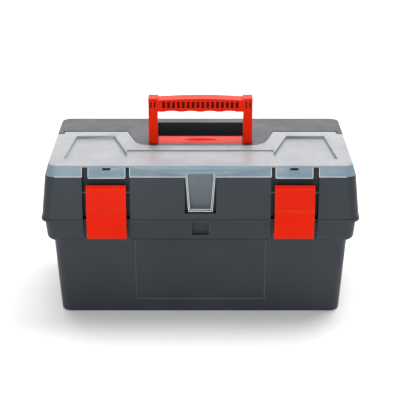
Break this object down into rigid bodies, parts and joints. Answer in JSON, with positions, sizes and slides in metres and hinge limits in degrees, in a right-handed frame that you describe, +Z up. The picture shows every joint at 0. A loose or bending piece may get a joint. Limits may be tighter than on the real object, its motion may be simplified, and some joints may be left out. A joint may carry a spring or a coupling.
{
  "type": "toolbox with tray",
  "caption": "Plastic hand-carried toolbox with a lift-out tray, a hinged lid, a clear organiser lid, a folding handle and snap latches.",
  "frame": {"origin": "on the ground, under the centre of the closed box", "axes": "+X to the right seen from the front, +Y to the back, +Z up; the latches face -Y"},
  "size_m": [0.42, 0.2236, 0.2799],
  "materials": {
    "dark_plastic": "fine-textured moulded polypropylene, satin",
    "orange_plastic": "smooth moulded plastic, semi-gloss",
    "clear_plastic": "milky see-through moulded plastic",
    "tray_plastic": "fine-textured moulded polypropylene",
    "steel_pin": "blackened drawn steel pin"
  },
  "bodies": {
    "tub": {"tub": "dark_plastic", "hinge_pin_left": "steel_pin", "hinge_pin_right": "steel_pin"},
    "lid": {"lid": "dark_plastic", "handle_plate": "orange_plastic", "handle_pin_left": "steel_pin", "handle_pin_right": "steel_pin", "latch_pin_left": "steel_pin", "latch_pin_right": "steel_pin", "organiser_hinge_pin_left": "steel_pin", "organiser_hinge_pin_right": "steel_pin", "organiser_divider_left": "tray_plastic", "organiser_divider_right": "tray_plastic"},
    "organiser_lid": {"organiser_lid": "clear_plastic"},
    "handle": {"handle": "orange_plastic"},
    "latch_left": {"latch_left": "orange_plastic"},
    "latch_right": {"latch_right": "orange_plastic"},
    "tray": {"tray": "tray_plastic", "tray_divider_front_left": "tray_plastic", "tray_divider_front_right": "tray_plastic", "tray_divider_back_left": "tray_plastic", "tray_divider_back_right": "tray_plastic"}
  },
  "joints": [
    {"name": "lid_hinge", "type": "hinge", "parent": "tub", "child": "lid", "pos_m": [0, 0.1075, 0.1368], "axis": [-1, 0, 0], "range_deg": [0, 100]},
    {"name": "organiser_lid_hinge", "type": "hinge", "parent": "lid", "child": "organiser_lid", "pos_m": [0, 0.0369, 0.2132], "axis": [-1, 0, 0], "range_deg": [0, 30]},
    {"name": "handle_fold", "type": "hinge", "parent": "lid", "child": "handle", "pos_m": [0, 0, 0.2076], "axis": [-1, 0, 0], "range_deg": [0, 88]},
    {"name": "latch_left_hinge", "type": "hinge", "parent": "lid", "child": "latch_left", "pos_m": [-0.1232, -0.102, 0.181], "axis": [-1, 0, 0], "range_deg": [0, 100]},
    {"name": "latch_right_hinge", "type": "hinge", "parent": "lid", "child": "latch_right", "pos_m": [0.1232, -0.102, 0.181], "axis": [-1, 0, 0], "range_deg": [0, 100]},
    {"name": "tray_lift", "type": "slide", "parent": "tub", "child": "tray", "axis": [0, 0, 1], "range_m": [0, 0.015]}
  ]
}
